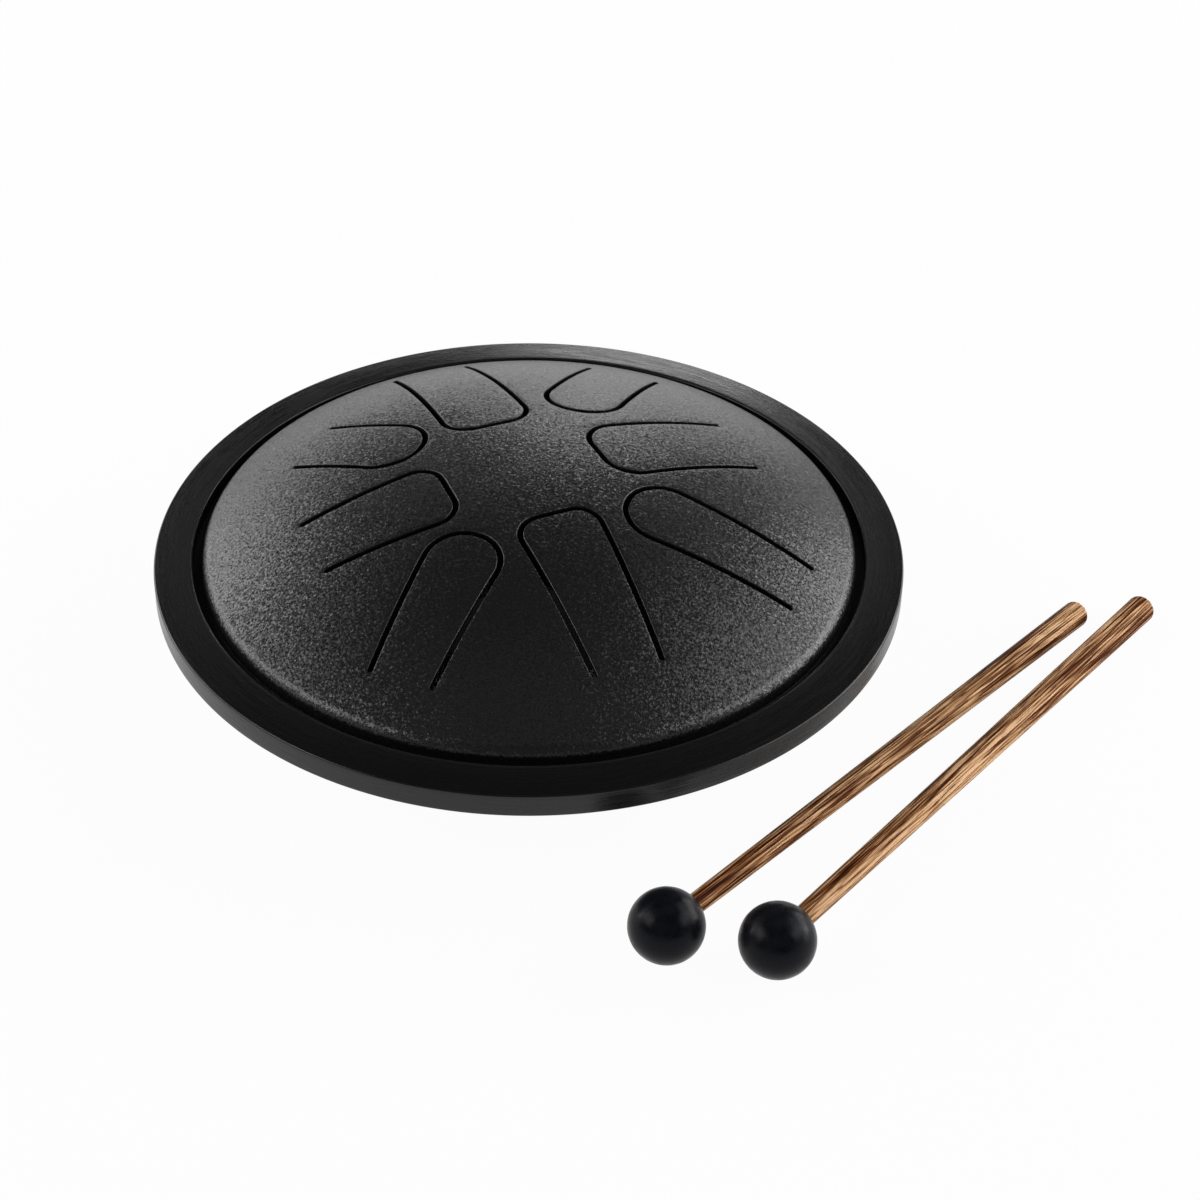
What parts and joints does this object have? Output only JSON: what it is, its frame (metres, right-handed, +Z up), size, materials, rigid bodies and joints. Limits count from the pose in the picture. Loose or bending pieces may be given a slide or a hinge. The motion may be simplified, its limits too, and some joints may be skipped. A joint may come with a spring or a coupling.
{
  "type": "steel tongue drum",
  "caption": "Low round steel drum of two shallow domes with slotted tongues cut in the top, a rubber rim ring, rubber feet under it and mallets lying beside it.",
  "frame": {"origin": "on the drum's axis, on the surface that the feet and the mallets rest on", "axes": "+Z up along the drum's axis; -Y towards the viewer of the picture; the mallets lie in front of the drum and to its right, at -Y and +X"},
  "size_m": [0.2468, 0.2084, 0.0565],
  "materials": {
    "shell_coat": "textured matt powder coat",
    "ring_rubber": "satin",
    "foot_rubber": "matt",
    "handle_wood": "smooth, with dark lengthwise bands",
    "head_rubber": "matt"
  },
  "bodies": {
    "drum_body": {"top_shell": "shell_coat", "bottom_shell": "shell_coat", "rim_ring": "ring_rubber", "foot_1": "foot_rubber", "foot_2": "foot_rubber", "foot_3": "foot_rubber"},
    "tongue_1": {"tongue_1": "shell_coat"},
    "tongue_2": {"tongue_2": "shell_coat"},
    "tongue_3": {"tongue_3": "shell_coat"},
    "tongue_4": {"tongue_4": "shell_coat"},
    "tongue_5": {"tongue_5": "shell_coat"},
    "tongue_6": {"tongue_6": "shell_coat"},
    "tongue_7": {"tongue_7": "shell_coat"},
    "tongue_8": {"tongue_8": "shell_coat"},
    "mallet_1": {"mallet_1_handle": "handle_wood", "mallet_1_head": "head_rubber"},
    "mallet_2": {"mallet_2_handle": "handle_wood", "mallet_2_head": "head_rubber"}
  },
  "joints": [
    {"name": "tongue_1_bend", "type": "hinge", "parent": "drum_body", "child": "tongue_1", "pos_m": [-0.02868, -0.05964, 0.04104], "axis": [0.91, -0.4147, 0], "range_deg": [-1, 1], "stiffness_Nm_per_rad": 23},
    {"name": "tongue_2_bend", "type": "hinge", "parent": "drum_body", "child": "tongue_2", "pos_m": [0.02201, -0.05789, 0.04298], "axis": [0.9265, 0.3762, 0], "range_deg": [-1, 1], "stiffness_Nm_per_rad": 24},
    {"name": "tongue_3_bend", "type": "hinge", "parent": "drum_body", "child": "tongue_3", "pos_m": [0.06313, -0.02546, 0.04012], "axis": [0.3665, 0.9304, 0], "range_deg": [-1, 1], "stiffness_Nm_per_rad": 22},
    {"name": "tongue_4_bend", "type": "hinge", "parent": "drum_body", "child": "tongue_4", "pos_m": [0.0505, 0.02447, 0.0454], "axis": [-0.4258, 0.9048, 0], "range_deg": [-1, 1], "stiffness_Nm_per_rad": 28},
    {"name": "tongue_5_bend", "type": "hinge", "parent": "drum_body", "child": "tongue_5", "pos_m": [0.02376, 0.06251, 0.0407], "axis": [-0.9272, 0.3746, 0], "range_deg": [-1, 1], "stiffness_Nm_per_rad": 28},
    {"name": "tongue_6_bend", "type": "hinge", "parent": "drum_body", "child": "tongue_6", "pos_m": [-0.02528, 0.06568, 0.03895], "axis": [-0.9403, -0.3404, 0], "range_deg": [-1, 1], "stiffness_Nm_per_rad": 24},
    {"name": "tongue_7_bend", "type": "hinge", "parent": "drum_body", "child": "tongue_7", "pos_m": [-0.05266, 0.02495, 0.04454], "axis": [-0.4384, -0.8988, 0], "range_deg": [-1, 1], "stiffness_Nm_per_rad": 32},
    {"name": "tongue_8_bend", "type": "hinge", "parent": "drum_body", "child": "tongue_8", "pos_m": [-0.05019, -0.0182, 0.04644], "axis": [0.3502, -0.9367, 0], "range_deg": [-1, 1], "stiffness_Nm_per_rad": 31},
    {"name": "mallet_1_lift", "type": "slide", "parent": "drum_body", "child": "mallet_1", "axis": [0.38, -0.325, 0.866], "range_m": [0, 0.12]},
    {"name": "mallet_2_lift", "type": "slide", "parent": "drum_body", "child": "mallet_2", "axis": [0.38, -0.325, 0.866], "range_m": [0, 0.12]}
  ]
}
